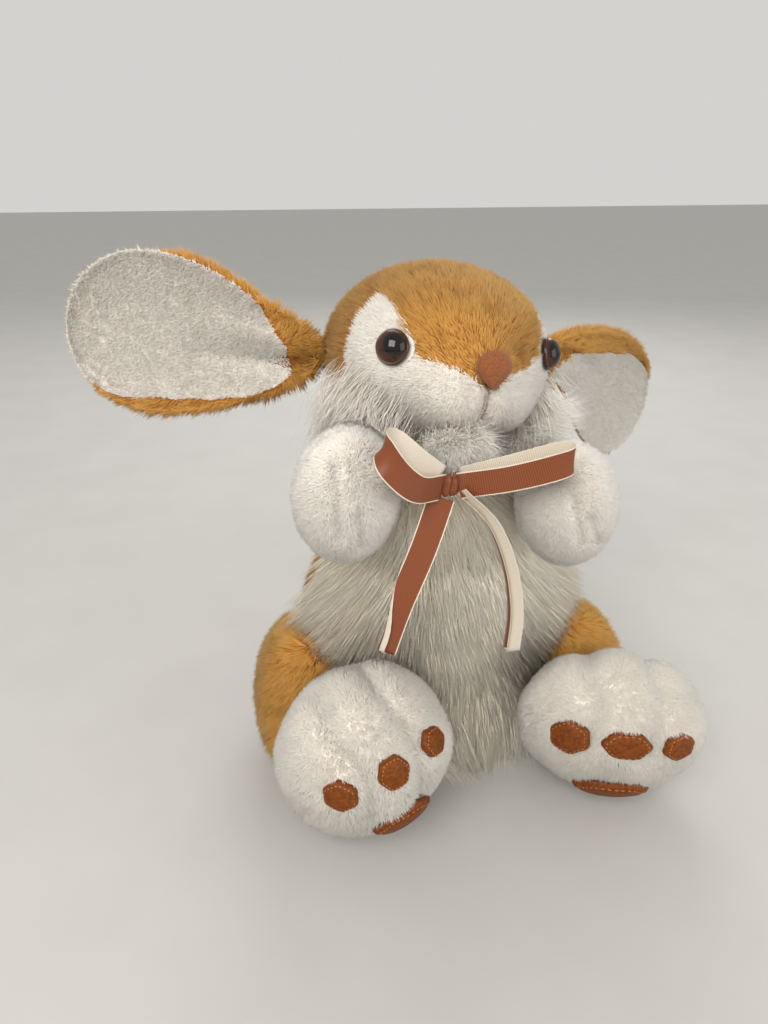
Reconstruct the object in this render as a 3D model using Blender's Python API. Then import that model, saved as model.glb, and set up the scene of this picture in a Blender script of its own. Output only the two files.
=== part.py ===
"""Seated plush bunny with floppy ears, a shaggy belly and a ribbon bow at the neck.

Metres, +Z up. The bunny faces -Y and its own left side is at +X. The origin is the middle of
the flat seat it sits on. Every padded limb is a stuffing body inside two thin cloth covers.
"""
import math

import bmesh
import bpy
from mathutils import Euler, Matrix, Vector

MM = 0.001

# Cloth and clearances
COVER = 2.0 * MM            # backing cloth with the pile pressed flat
GAP = 0.3 * MM              # air between neighbouring pieces
SEAM = 0.9 * MM             # from a seam's plane to the edge of the cover on each side
INSET = 3.2 * MM            # from a cover's outside to the stuffing inside it
RIBBON_WIDTH = 12.0 * MM
RIBBON_THICKNESS = 0.8 * MM
PAD_THICKNESS = 1.0 * MM

# Padded forms, in millimetres: centre, half sizes, turn in degrees about X, Y and Z
TORSO = ((0, 9, 80), (62, 48, 90), (0, 0, 0))
HEAD = ((-4, 0, 222), (56, 57, 45), (-6, 7, 10))
ARM_RIGHT = ((-58, -54, 175), (25, 24, 32), (0, 6, 0))
ARM_LEFT = ((47, -54, 161), (25, 24, 32), (0, -6, 0))
THIGH_RIGHT = ((-83, -16, 42), (21, 50, 40), (0, 0, -5))
THIGH_LEFT = ((82, -16, 40), (21, 50, 38), (0, 0, 9))
FOOT_RIGHT = ((-56, -71, 46.5), (44, 40, 51), (41, -13, 16))
FOOT_LEFT = ((74, -76, 44), (48, 34, 43), (22, 2, -17))
TOE_CURL_RIGHT = math.radians(20)    # how far the pads sit up round the toes
TOE_CURL_LEFT = math.radians(-7)
EAR_RIGHT = ((-121, 8, 233), (39, 15, 57), (0, 104, 0))
EAR_LEFT = ((107, 35, 190), (35, 15, 55), (0, -52, 27))
TAIL = ((0, 65, 27), (15, 13, 15), (0, 0, 0))
RUFF_HALF = (8, 12, 11)
TORSO_TAPER = 0.10
EAR_TAPER = 0.28

# Seams and joints
BELLY_SEAM_Y = -12 * MM
FACE_SEAM_NORMAL = (0, -0.86, -0.51)
FACE_SEAM_DEPTH = 4 * MM
ANKLE_Y = -47 * MM
ANKLE_LEAN = 0.30           # rise of the ankle cut's normal
BAG_TOP = 24 * MM
NECK_Z = 174 * MM
NECK_RADIUS = 31 * MM
KNOT = Vector((-17, -69, 182)) * MM
EYE_RADIUS = 7.8 * MM
EYE_SHANK = 2.2 * MM


def clear_scene():
    """Removes every object that the file opened with."""
    for item in list(bpy.data.objects):
        bpy.data.objects.remove(item, do_unlink=True)


def material(name, colour, roughness):
    """A plain cloth, felt or plastic finish."""
    made = bpy.data.materials.new(name)
    made.use_nodes = True
    shader = made.node_tree.nodes["Principled BSDF"]
    shader.inputs["Base Color"].default_value = (*colour, 1.0)
    shader.inputs["Roughness"].default_value = roughness
    shader.inputs["Metallic"].default_value = 0.0
    made.diffuse_color = (*colour, 1.0)
    return made


def finishes():
    """One material for each kind of stuff the bunny is made of."""
    return {
        "tan": material("tan_plush", (0.52, 0.26, 0.08), 0.95),
        "white": material("white_plush", (0.83, 0.80, 0.76), 0.95),
        "shaggy": material("cream_long_fur", (0.76, 0.71, 0.60), 0.95),
        "fill": material("polyester_fill", (0.90, 0.90, 0.90), 1.0),
        "pellets": material("pellet_bag_cloth", (0.70, 0.70, 0.68), 0.9),
        "satin": material("brown_satin", (0.25, 0.09, 0.05), 0.35),
        "pads": material("brown_leatherette", (0.40, 0.13, 0.03), 0.6),
        "nose": material("brown_suede", (0.42, 0.16, 0.08), 0.9),
        "thread": material("mouth_thread", (0.45, 0.25, 0.20), 0.8),
        "eye": material("eye_plastic", (0.03, 0.012, 0.008), 0.08),
        "washer": material("washer_plastic", (0.80, 0.80, 0.78), 0.5),
    }


class Blob:
    """An egg shape: a stretched ball with an optional taper and a flat underside at floor."""

    def __init__(self, form, taper=0.0, floor=None):
        centre, half, turn = form
        self.centre = Vector(centre) * MM
        self.half = Vector(half) * MM
        self.turn = Euler([math.radians(angle) for angle in turn], "XYZ").to_matrix()
        self.taper = taper
        self.floor = floor

    def point(self, unit, lift=0.0):
        """The surface point in a unit direction, moved out by lift."""
        narrow = 1.0 - self.taper * unit.z
        local = Vector((unit.x * narrow, unit.y * narrow, unit.z))
        local = Vector(a * b for a, b in zip(local, self.half))
        normal = Vector(a / b for a, b in zip(unit, self.half)).normalized()
        place = self.centre + self.turn @ (local + normal * lift)
        if self.floor is not None:
            place.z = max(place.z, self.floor - lift)
        return place

    def normal(self, unit):
        """The outward direction of the surface at a unit direction."""
        flat = Vector(a / b for a, b in zip(unit, self.half))
        return (self.turn @ flat).normalized()

    def direction(self, vector):
        """A direction given along the form's own axes, in the world's."""
        return (self.turn @ Vector(vector)).normalized()

    def sheet(self, lift=0.0, around=20, along=12):
        """The whole surface as one closed sheet of faces."""
        mesh = bmesh.new()
        bmesh.ops.create_uvsphere(mesh, u_segments=around, v_segments=along, radius=1.0)
        for vertex in mesh.verts:
            vertex.co = self.point(vertex.co.normalized(), lift)
        return mesh


def keep_side(mesh, place, normal, fill):
    """Cuts a mesh with a plane, keeps the side the normal points to, and may close the cut."""
    geometry = mesh.verts[:] + mesh.edges[:] + mesh.faces[:]
    cut = bmesh.ops.bisect_plane(
        mesh, geom=geometry, dist=1e-6, plane_co=place, plane_no=normal, clear_inner=True)
    if fill:
        edges = [item for item in cut["geom_cut"] if isinstance(item, bmesh.types.BMEdge)]
        bmesh.ops.holes_fill(mesh, edges=edges, sides=0)


class Body:
    """A moving part: its empty sits on the joint's axis and its pieces hang on that empty."""

    def __init__(self, name, pivot=(0, 0, 0)):
        self.pivot = Vector(pivot) * MM
        self.empty = bpy.data.objects.new(name + "_pivot", None)
        self.empty.location = self.pivot
        bpy.context.scene.collection.objects.link(self.empty)

    def add(self, name, mesh, finish, thickness=0.0):
        """Makes a named object of a mesh, and thickens it inwards if it is a cover."""
        mesh.transform(Matrix.Translation(-self.pivot))
        bmesh.ops.recalc_face_normals(mesh, faces=mesh.faces[:])
        data = bpy.data.meshes.new(name)
        mesh.to_mesh(data)
        mesh.free()
        data.materials.append(finish)
        data.shade_smooth()
        data.set_sharp_from_angle(angle=math.radians(40))
        made = bpy.data.objects.new(name, data)
        made.parent = self.empty
        bpy.context.scene.collection.objects.link(made)
        if thickness:
            shell = made.modifiers.new("cloth", "SOLIDIFY")
            shell.thickness = thickness
            shell.offset = -1.0
        return made


def cover(body, name, blob, finish, cuts, around=20, along=12, thickness=COVER, lift=0.0):
    """A cloth cover: the part of a form's surface inside the cuts, stopping short of each."""
    mesh = blob.sheet(lift, around, along)
    for place, normal in cuts:
        keep_side(mesh, Vector(place) + Vector(normal) * SEAM, normal, fill=False)
    return body.add(name, mesh, finish, thickness)


def stuffing(body, name, blob, finish, cuts=(), around=20, along=12):
    """The padding inside a form's covers, with flat faces where it is cut."""
    mesh = blob.sheet(-INSET, around, along)
    for place, normal in cuts:
        keep_side(mesh, Vector(place) + Vector(normal) * GAP, normal, fill=True)
    return body.add(name, mesh, finish)


def flipped(cut):
    """The same plane, keeping its other side."""
    place, normal = cut
    return place, -Vector(normal)


def disc_grid(steps):
    """Points of a square grid squeezed into a unit disc, row by row."""
    rows = []
    for row in range(steps + 1):
        v = 2.0 * row / steps - 1.0
        line = []
        for column in range(steps + 1):
            u = 2.0 * column / steps - 1.0
            line.append((u * math.sqrt(1.0 - v * v / 2.0), v * math.sqrt(1.0 - u * u / 2.0)))
        rows.append(line)
    return rows


def patch(body, name, blob, centre, wide, high, finish, steps=4, point_down=0.0):
    """A thin oval patch lying on a form: centre is a unit direction in the form's own axes.

    wide and high are half sizes in metres; point_down draws the lower end in to a point.
    """
    centre = Vector(centre).normalized()
    across = Vector((0, 0, 1)).cross(centre).normalized()
    upward = centre.cross(across)
    radius = (blob.point(centre) - blob.centre).length
    mesh = bmesh.new()
    layers = []
    for lift in (GAP + PAD_THICKNESS, GAP):
        layer = []
        for line in disc_grid(steps):
            row = []
            for u, v in line:
                squeeze = 1.0 - point_down * max(0.0, -v)
                unit = centre + across * (u * squeeze * wide / radius) + upward * (v * high / radius)
                row.append(mesh.verts.new(blob.point(unit.normalized(), lift)))
            layer.append(row)
        layers.append(layer)
    join_layers(mesh, layers)
    return body.add(name, mesh, finish)


def join_layers(mesh, layers):
    """Skins two grids of vertices, front and back, and the rim between them."""
    front, back = layers
    last_row = len(front) - 1
    last_column = len(front[0]) - 1
    for row in range(last_row):
        for column in range(last_column):
            for layer in layers:
                mesh.faces.new((layer[row][column], layer[row][column + 1],
                                layer[row + 1][column + 1], layer[row + 1][column]))
    rim = [(0, column) for column in range(last_column)]
    rim += [(row, last_column) for row in range(last_row)]
    rim += [(last_row, column) for column in range(last_column, 0, -1)]
    rim += [(row, 0) for row in range(last_row, 0, -1)]
    for here, there in zip(rim, rim[1:] + rim[:1]):
        mesh.faces.new((front[here[0]][here[1]], front[there[0]][there[1]],
                        back[there[0]][there[1]], back[here[0]][here[1]]))


def smooth_path(points, steps):
    """Points along a smooth curve through a few guide points."""
    guides = [Vector(point) for point in points]
    guides = [guides[0] * 2 - guides[1]] + guides + [guides[-1] * 2 - guides[-2]]
    path = []
    for index in range(1, len(guides) - 2):
        before, start, end, after = guides[index - 1:index + 3]
        for step in range(steps):
            t = step / steps
            place = start * 2 + (end - before) * t
            place += (before * 2 - start * 5 + end * 4 - after) * t ** 2
            place += (start * 3 - before - end * 3 + after) * t ** 3
            path.append(place * 0.5)
    path.append(guides[-2])
    return path


def ribbon(body, name, points, across, finish, steps=4, width=RIBBON_WIDTH):
    """A flat band along a smooth path; across gives the direction of its width at each end."""
    path = smooth_path([Vector(point) * MM for point in points], steps)
    first, last = (Vector(direction).normalized() for direction in across)
    mesh = bmesh.new()
    sides = [[], []]
    for index, place in enumerate(path):
        ahead = path[min(index + 1, len(path) - 1)] - path[max(index - 1, 0)]
        spread = first.lerp(last, index / (len(path) - 1))
        facing = ahead.cross(spread).normalized() * (RIBBON_THICKNESS / 2)
        spread = facing.cross(ahead).normalized() * (width / 2)
        for side, offset in zip(sides, (facing, -facing)):
            side.append([mesh.verts.new(place + spread * way + offset) for way in (-1, 0, 1)])
    join_layers(mesh, sides)
    return body.add(name, mesh, finish)


def turned(body, name, profile, base, axis, finish, segments=20):
    """A round piece spun about an axis from (radius, height) points that start and end on it."""
    mesh = bmesh.new()
    spin = Vector(axis).to_track_quat("Z", "Y").to_matrix()
    rings = []
    for radius, height in profile:
        count = segments if radius else 1
        ring = []
        for index in range(count):
            angle = math.tau * index / count
            flat = Vector((radius * math.cos(angle), radius * math.sin(angle), height))
            ring.append(mesh.verts.new(Vector(base) + spin @ flat))
        rings.append(ring)
    for inner, outer in zip(rings, rings[1:]):
        for index in range(segments):
            after = (index + 1) % segments
            face = [inner[index % len(inner)], outer[index % len(outer)],
                    outer[after % len(outer)], inner[after % len(inner)]]
            mesh.faces.new(list(dict.fromkeys(face)))
    return body.add(name, mesh, finish)


def tube_ring(body, name, base, axis, inner, outer, height, finish, segments=20):
    """A plain washer or band: a ring with a square section."""
    mesh = bmesh.new()
    spin = Vector(axis).to_track_quat("Z", "Y").to_matrix()
    corners = ((inner, 0.0), (outer, 0.0), (outer, height), (inner, height))
    rings = []
    for index in range(segments):
        angle = math.tau * index / segments
        ring = []
        for radius, rise in corners:
            flat = Vector((radius * math.cos(angle), radius * math.sin(angle), rise))
            ring.append(mesh.verts.new(Vector(base) + spin @ flat))
        rings.append(ring)
    for here, there in zip(rings, rings[1:] + rings[:1]):
        for corner in range(4):
            after = (corner + 1) % 4
            mesh.faces.new((here[corner], there[corner], there[after], here[after]))
    return body.add(name, mesh, finish)


def drill(target, base, axis, radius, depth):
    """Cuts a round hole of a given depth into an object, along minus axis from base."""
    mesh = bmesh.new()
    bmesh.ops.create_cone(mesh, cap_ends=True, segments=16, radius1=radius, radius2=radius,
                          depth=depth)
    spin = Vector(axis).to_track_quat("Z", "Y").to_matrix().to_4x4()
    place = Matrix.Translation(Vector(base) - target.parent.location - Vector(axis) * depth / 2)
    mesh.transform(place @ spin)
    data = bpy.data.meshes.new(target.name + "_cutter")
    mesh.to_mesh(data)
    mesh.free()
    cutter = bpy.data.objects.new(target.name + "_cutter", data)
    cutter.parent = target.parent
    cutter.hide_render = True
    cutter.display_type = "WIRE"
    bpy.context.scene.collection.objects.link(cutter)
    cut = target.modifiers.new("hole", "BOOLEAN")
    cut.operation = "DIFFERENCE"
    cut.object = cutter


def build_torso(body, look):
    """The seat, belly and back: the fixed body that everything else is sewn to."""
    blob = Blob(TORSO, TORSO_TAPER, floor=0.0)
    belly = ((0, BELLY_SEAM_Y, 0), (0, -1, 0))
    bag = ((0, 0, BAG_TOP), (0, 0, -1))
    cover(body, "belly_panel", blob, look["shaggy"], [belly], around=24)
    cover(body, "torso_back_cover", blob, look["tan"], [flipped(belly)], around=24)
    stuffing(body, "torso_stuffing", blob, look["fill"], [flipped(bag)], 24)
    stuffing(body, "seat_pellet_bag", blob, look["pellets"], [bag], 24)
    body.add("tail", Blob(TAIL).sheet(around=16, along=10), look["white"])


def build_bow(body, look):
    """The ribbon round the neck, its knot, two loops and two loose ends."""
    satin = look["satin"]
    tube_ring(body, "neck_ribbon", Vector((0, 9 * MM, NECK_Z - RIBBON_WIDTH)), (0, 0, 1),
              NECK_RADIUS, NECK_RADIUS + RIBBON_THICKNESS, RIBBON_WIDTH, satin, segments=28)
    knot = Blob((KNOT / MM, (7, 4, 5.5), (0, 0, 0)))
    body.add("bow_knot", knot.sheet(around=14, along=8), satin)
    right = [(-25, -72, 183), (-35, -80, 192), (-44, -84, 202), (-46, -81, 203), (-37, -75, 194),
             (-26, -69, 184)]
    left = [(-9, -72, 183), (10, -81, 191), (30, -87, 196), (34, -84, 197), (12, -75, 192),
            (-8, -69, 184)]
    ribbon(body, "bow_loop_right", right, ((0.3, 0, 1), (0.3, 0, 1)), satin, steps=3)
    ribbon(body, "bow_loop_left", left, ((0, 0, 1), (0, 0, 1)), satin, steps=3)
    fall_right = [(-22, -70, 175), (-29, -72, 156), (-40, -72, 131), (-45, -71, 108)]
    fall_left = [(-12, -70, 175), (3, -73, 158), (13, -73, 130), (15, -71, 102)]
    ribbon(body, "bow_tail_right", fall_right, ((1, 0, 0.4), (1, -0.4, 0)), satin)
    ribbon(body, "bow_tail_left", fall_left, ((0.7, 0.6, 0.2), (0.7, -0.6, 0)), satin)


def build_eye(body, side, blob, unit, look, face, core):
    """A moulded eye whose shank goes through the face to a washer inside."""
    out = blob.normal(unit)
    seat = blob.point(unit, GAP)
    dome = [(0.0, -7.0 * MM), (EYE_SHANK, -7.0 * MM), (EYE_SHANK, 0.9 * MM),
            (EYE_RADIUS, 0.9 * MM)]
    for step in range(6):
        angle = math.radians(90 * step / 5)
        dome.append((EYE_RADIUS * math.cos(angle), (1.8 + 5.4 * math.sin(angle)) * MM))
    dome[-1] = (0.0, 7.2 * MM)
    turned(body, "eye_" + side, dome, seat, out, look["eye"])
    tube_ring(body, "eye_washer_" + side, seat - out * 5.4 * MM, out, EYE_SHANK + GAP,
              6.5 * MM, 1.2 * MM, look["washer"], segments=16)
    drill(face, seat + out * 5 * MM, out, EYE_SHANK + GAP, 14 * MM)
    drill(core, seat + out * 5 * MM, out, 7.2 * MM, 13.5 * MM)


def build_head(body, look):
    """The tan crown, two white cheeks, padding, eyes, nose, mouth, ruffs and chin tuft."""
    blob = Blob(HEAD)
    seam_normal = blob.direction(FACE_SEAM_NORMAL)
    face = (blob.centre + seam_normal * FACE_SEAM_DEPTH, seam_normal)
    middle = (blob.centre, blob.direction((1, 0, 0)))
    cover(body, "head_crown_cover", blob, look["tan"], [flipped(face)], around=24)
    cheeks = {
        "right": cover(body, "face_cover_right", blob, look["white"], [face, flipped(middle)],
                       around=24),
        "left": cover(body, "face_cover_left", blob, look["white"], [face, middle], around=24),
    }
    core = stuffing(body, "head_stuffing", blob, look["fill"], around=24)
    for side, way in (("right", -1), ("left", 1)):
        unit = Vector((0.69 * way, -0.71, 0.13)).normalized()
        build_eye(body, side, blob, unit, look, cheeks[side], core)
        ruff = Blob(((58 * way, 9, 186), RUFF_HALF, (0, 20 * way, 0)))
        body.add("cheek_ruff_" + side, ruff.sheet(around=14, along=8), look["shaggy"])
    patch(body, "nose_patch", blob, (0, -1, -0.08), 8.5 * MM, 9.5 * MM, look["nose"],
          point_down=0.55)
    chin = blob.point(Vector((-0.10, -0.82, -0.56)).normalized(), 7 * MM)
    tuft = Blob((chin / MM, (9, 5, 6.5), (0, 0, 13)))
    body.add("chin_tuft", tuft.sheet(around=14, along=8), look["shaggy"])
    build_mouth(body, blob, look["thread"])


def build_mouth(body, blob, finish):
    """A stitched thread from the nose down the muzzle, with a short stroke to one side."""
    drop = []
    for height in (-0.32, -0.40, -0.48, -0.56):
        unit = Vector((0.16 * height, -1, height)).normalized()
        drop.append(blob.point(unit, 0.9 * MM))
    path = smooth_path(drop, 2)
    radius = 0.5 * MM
    sides = 6
    mesh = bmesh.new()
    rings = []
    for index, place in enumerate(path):
        ahead = (path[min(index + 1, len(path) - 1)] - path[max(index - 1, 0)]).normalized()
        turn = ahead.to_track_quat("Z", "Y").to_matrix()
        ring = []
        for corner in range(sides):
            angle = math.tau * corner / sides
            flat = Vector((radius * math.cos(angle), radius * math.sin(angle), 0))
            ring.append(mesh.verts.new(place + turn @ flat))
        rings.append(ring)
    for here, there in zip(rings, rings[1:]):
        for corner in range(sides):
            after = (corner + 1) % sides
            mesh.faces.new((here[corner], there[corner], there[after], here[after]))
    mesh.faces.new(rings[0])
    mesh.faces.new(rings[-1])
    body.add("mouth_stitch", mesh, finish)


def build_ear(body, side, form, look):
    """A cupped ear: a tan back with a white lining nested inside it."""
    blob = Blob(form, EAR_TAPER)
    backward = blob.direction((0, 1, 0))
    rim = (blob.centre, backward)
    cover(body, "ear_" + side + "_back", blob, look["tan"], [rim])
    cover(body, "ear_" + side + "_lining", blob, look["white"], [rim], lift=-(COVER + 2 * GAP))


def build_arm(body, side, form, look):
    """A mitten arm: two white covers round one padding."""
    blob = Blob(form)
    seam = (blob.centre, blob.direction((0, -1, 0)))
    cover(body, "arm_" + side + "_front_cover", blob, look["white"], [seam], 16, 9)
    cover(body, "arm_" + side + "_palm_cover", blob, look["white"], [flipped(seam)], 16, 9)
    stuffing(body, "arm_" + side + "_stuffing", blob, look["fill"], (), 16, 9)


def tip_over(unit, angle):
    """A unit direction turned about the width of the foot, from the sole towards the toes."""
    return Matrix.Rotation(-angle, 3, "X") @ Vector(unit)


def build_leg(body, side, thigh_form, foot_form, toe_curl, look):
    """A tan thigh that ends at the ankle seam, and a big white foot with leather pads."""
    thigh = Blob(thigh_form, floor=0.6 * MM)
    ankle = ((0, ANKLE_Y, 0), Vector((0, -1, ANKLE_LEAN)).normalized())
    outward = -1 if side == "right" else 1
    seam = (thigh.centre, thigh.direction((outward, 0, 0)))
    leg = flipped(ankle)
    tan = look["tan"]
    cover(body, "thigh_" + side + "_outer_cover", thigh, tan, [seam, leg], 16, 12)
    cover(body, "thigh_" + side + "_inner_cover", thigh, tan, [flipped(seam), leg], 16, 12)
    stuffing(body, "thigh_" + side + "_stuffing", thigh, look["fill"], [leg], 16, 12)

    foot = Blob(foot_form, floor=0.6 * MM)
    side_seam = (foot.centre + foot.direction((0, -1, 0)) * 14 * MM, foot.direction((0, -1, 0)))
    white = look["white"]
    cover(body, "foot_" + side + "_sole_cover", foot, white, [side_seam, ankle], 16, 12)
    cover(body, "foot_" + side + "_upper_cover", foot, white, [flipped(side_seam), ankle], 16, 12)
    stuffing(body, "foot_" + side + "_stuffing", foot, look["fill"], [ankle], 16, 12)
    for index, spread in enumerate((-0.58, 0.0, 0.58)):
        unit = tip_over((spread, -0.72 + 0.17 * abs(spread), 0.70 - 0.17 * abs(spread)), toe_curl)
        patch(body, "toe_pad_%s_%d" % (side, index + 1), foot, unit, 8 * MM, 8 * MM, look["pads"])
    patch(body, "sole_pad_" + side, foot, tip_over((0, -1, -0.25), toe_curl), 14 * MM, 9 * MM,
          look["pads"])


def main():
    """Builds the whole bunny."""
    clear_scene()
    look = finishes()
    root = Body("torso")
    build_torso(root, look)
    build_bow(root, look)
    build_head(Body("head", (0, 4, 175)), look)
    build_ear(Body("ear_right", (-64, 6, 220)), "right", EAR_RIGHT, look)
    build_ear(Body("ear_left", (60, 8, 222)), "left", EAR_LEFT, look)
    build_arm(Body("arm_right", (-52, -44, 196)), "right", ARM_RIGHT, look)
    build_arm(Body("arm_left", (44, -44, 182)), "left", ARM_LEFT, look)
    build_leg(Body("leg_right", (-74, 22, 42)), "right", THIGH_RIGHT, FOOT_RIGHT, TOE_CURL_RIGHT,
              look)
    build_leg(Body("leg_left", (72, 22, 40)), "left", THIGH_LEFT, FOOT_LEFT, TOE_CURL_LEFT, look)


main()
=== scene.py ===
"""Looks for a seated plush bunny: pile cloth, long fur, a satin bow, moulded eyes, leather pads.

Each padded limb is an egg-shaped cloth skin. A short cloth simulation swells it between its
seams, toes, fingers and muzzle are sewn in after that, and real strands of pile grow from it.
Metres, +Z up, and the bunny faces -Y.
"""
import math

import bmesh
import bpy
import numpy as np
from mathutils import Euler, Matrix, Vector
from mathutils.kdtree import KDTree

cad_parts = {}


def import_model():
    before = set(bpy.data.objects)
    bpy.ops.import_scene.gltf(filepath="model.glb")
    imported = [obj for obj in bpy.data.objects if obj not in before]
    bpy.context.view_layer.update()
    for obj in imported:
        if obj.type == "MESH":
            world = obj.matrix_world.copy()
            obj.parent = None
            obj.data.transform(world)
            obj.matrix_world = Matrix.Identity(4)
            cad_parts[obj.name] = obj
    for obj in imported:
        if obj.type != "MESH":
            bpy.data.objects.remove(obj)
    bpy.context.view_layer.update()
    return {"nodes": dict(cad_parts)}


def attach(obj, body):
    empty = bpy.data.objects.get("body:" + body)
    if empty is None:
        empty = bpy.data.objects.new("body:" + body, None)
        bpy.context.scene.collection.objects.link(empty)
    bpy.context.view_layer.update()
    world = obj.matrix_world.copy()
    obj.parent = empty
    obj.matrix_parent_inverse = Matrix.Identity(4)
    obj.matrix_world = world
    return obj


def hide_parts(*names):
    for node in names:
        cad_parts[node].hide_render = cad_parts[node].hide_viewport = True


MM = 0.001
PILE_UV = "OFBake"          # strand tone across, root to tip along

# Padded forms, in millimetres: centre, half sizes, turn in degrees about X, Y and Z
TORSO = ((0, 9, 80), (62, 48, 90), (0, 0, 0))
HEAD = ((-4, 0, 222), (56, 57, 45), (-6, 7, 10))
ARMS = {
    "right": ((-58, -54, 175), (25, 24, 32), (0, 6, 0)),
    "left": ((47, -54, 161), (25, 24, 32), (0, -6, 0)),
}
THIGHS = {
    "right": ((-79, -16, 42), (25, 50, 40), (0, 0, -5)),
    "left": ((78, -16, 40), (25, 50, 38), (0, 0, 9)),
}
FEET = {
    "right": ((-56, -71, 46.5), (44, 40, 51), (41, -13, 16)),
    "left": ((74, -76, 44), (48, 34, 43), (22, 2, -17)),
}
EARS = {
    "right": ((-121, 8, 233), (39, 15, 57), (0, 104, 0)),
    "left": ((107, 35, 190), (35, 15, 55), (0, -52, 27)),
}
EAR_SEATS = {"right": (-56, 6, 220), "left": (51, 6, 222)}    # where the roots are sewn on
TAIL = ((0, 65, 27), (15, 13, 15), (0, 0, 0))
TOE_CURL = {"right": math.radians(20), "left": math.radians(-7)}
SIGN = {"right": -1.0, "left": 1.0}
PAD_SIZES = {
    "right": ((9.5, 8.0), (8.5, 9.5), (8.0, 9.0)),
    "left": ((9.5, 9.5), (9.5, 7.0), (8.5, 7.5)),
}
SOLE_PAD_RISE = {"right": -0.06, "left": -0.22}
TORSO_TAPER = 0.10
EAR_TAPER = 0.28
BELLY_SEAM_Y = -12 * MM
ANKLE_PLACE = np.array((0, -47, 0)) * MM
ANKLE_NORMAL = np.array((0, -1, 0.3)) / math.hypot(1, 0.3)
KNOT = np.array((-17, -69, 182)) * MM
EYE_UNIT = np.array((0.73, -0.67, 0.13))
GAZE = np.array((0.20, -0.93, 0.30))
NOSE_UNIT = np.array((0.0, -1.0, -0.01))
EYE_RADIUS = 7.8 * MM
EYE_SINK = 3.6 * MM
RIBBON_WIDTH = 12 * MM
RIBBON_HALF_THICKNESS = 0.14 * MM
NECK_RADIUS = 31.5
CLOTH_DEPTH = {"torso": 3.5, "tail": 4.0, "head": 3.2, "ear": 3.5, "arm": 2.4, "thigh": 3.5, "foot": 2.6}
SWELL = 1.2 * MM            # how far the cloth swells between its seams
SWELL_FRAMES = 12
FLOOR_GAP = 0.8 * MM
PILE_SINK = 0.4 * MM        # how far a strand starts under the cloth


# ---------------------------------------------------------------- small mathematics

def unit_rows(vectors):
    """Each row scaled to length one."""
    return vectors / np.maximum(np.linalg.norm(vectors, axis=1, keepdims=True), 1e-12)


def unit_of(vector):
    """One direction scaled to length one."""
    return unit_rows(np.asarray(vector, float)[None])[0]


def ease(values, low, high):
    """A smooth step from 0 at low to 1 at high."""
    t = np.clip((values - low) / (high - low), 0.0, 1.0)
    return t * t * (3.0 - 2.0 * t)


def waves(points, size, seed):
    """A smooth random field from about -1 to 1, with features of the given size."""
    rng = np.random.default_rng(seed)
    total = np.zeros(len(points))
    for _ in range(8):
        heading = rng.normal(size=3)
        heading /= np.linalg.norm(heading)
        pitch = math.tau / (size * rng.uniform(0.7, 1.5))
        total += np.sin(points @ heading * pitch + rng.uniform(0.0, math.tau))
    return total / 3.0


def mound(units, centre, width):
    """A soft bump, 1 at a unit direction and gone beyond about twice the width."""
    centre = np.array(centre) / np.linalg.norm(centre)
    return np.exp(-np.sum((units - centre) ** 2, axis=1) / width ** 2)


def valley(units, start, end, width):
    """A soft groove along a line between two points of a form's front, given as x and z."""
    start, end = np.array(start), np.array(end)
    flat = units[:, [0, 2]]
    along = np.clip((flat - start) @ (end - start) / np.sum((end - start) ** 2), 0.0, 1.0)
    away = np.linalg.norm(flat - (start + along[:, None] * (end - start)), axis=1)
    return np.exp(-(away / width) ** 2) * ease(-units[:, 1], 0.0, 0.4)


class Form:
    """An egg shape: a stretched ball with an optional taper and a flat underside."""

    def __init__(self, form, taper=0.0, floor=None):
        centre, half, turn = form
        self.centre = np.array(centre, float) * MM
        self.half = np.array(half, float) * MM
        self.turn = np.array(Euler([math.radians(angle) for angle in turn]).to_matrix())
        self.taper = taper
        self.floor = floor

    def local(self, points):
        """Points in the form's own axes, in metres from its centre."""
        return (points - self.centre) @ self.turn

    def world(self, vectors):
        """Directions of the form's own axes in the frame."""
        return np.asarray(vectors, float) @ self.turn.T

    def normal(self, units):
        """Outward directions of the surface."""
        return self.world(unit_rows(units / self.half))

    def place(self, units, lift=0.0):
        """Surface points in unit directions, moved out by lift."""
        narrow = 1.0 - self.taper * units[:, 2:3]
        local = units * self.half * np.hstack((narrow, narrow, np.ones_like(narrow)))
        points = self.centre + self.world(local) + self.normal(units) * np.reshape(lift, (-1, 1))
        if self.floor is not None:
            points[:, 2] = np.maximum(points[:, 2], self.floor)
        return points

    def pushed_out(self, points, margin):
        """Points moved outwards until they are a margin outside the form."""
        local = self.local(points)
        narrow = 1.0 - self.taper * np.clip(local[:, 2:3] / self.half[2], -1.0, 1.0)
        size = self.half * np.hstack((narrow, narrow, np.ones_like(narrow))) + margin
        depth = np.linalg.norm(local / size, axis=1, keepdims=True)
        return self.centre + self.world(local / np.minimum(depth, 1.0))


# ---------------------------------------------------------------- meshes

def placed(name, data):
    """A new object in the scene."""
    made = bpy.data.objects.new(name, data)
    bpy.context.scene.collection.objects.link(made)
    return made


def new_object(name, mesh, material, body):
    """Links a mesh as a piece that rides on a body and takes a slot's finish."""
    mesh.name = name
    mesh.materials.append(material)
    mesh.shade_smooth()
    made = placed(name, mesh)
    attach(made, body)
    return made


def mesh_of(points, faces):
    """A mesh of triangles from arrays."""
    mesh = bpy.data.meshes.new("made")
    mesh.vertices.add(len(points))
    mesh.vertices.foreach_set("co", np.asarray(points, np.float32).ravel())
    mesh.loops.add(faces.size)
    mesh.loops.foreach_set("vertex_index", np.asarray(faces, np.int32).ravel())
    mesh.polygons.add(len(faces))
    mesh.polygons.foreach_set("loop_start", np.arange(0, faces.size, 3, dtype=np.int32))
    mesh.update(calc_edges=True)
    return mesh


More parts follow.
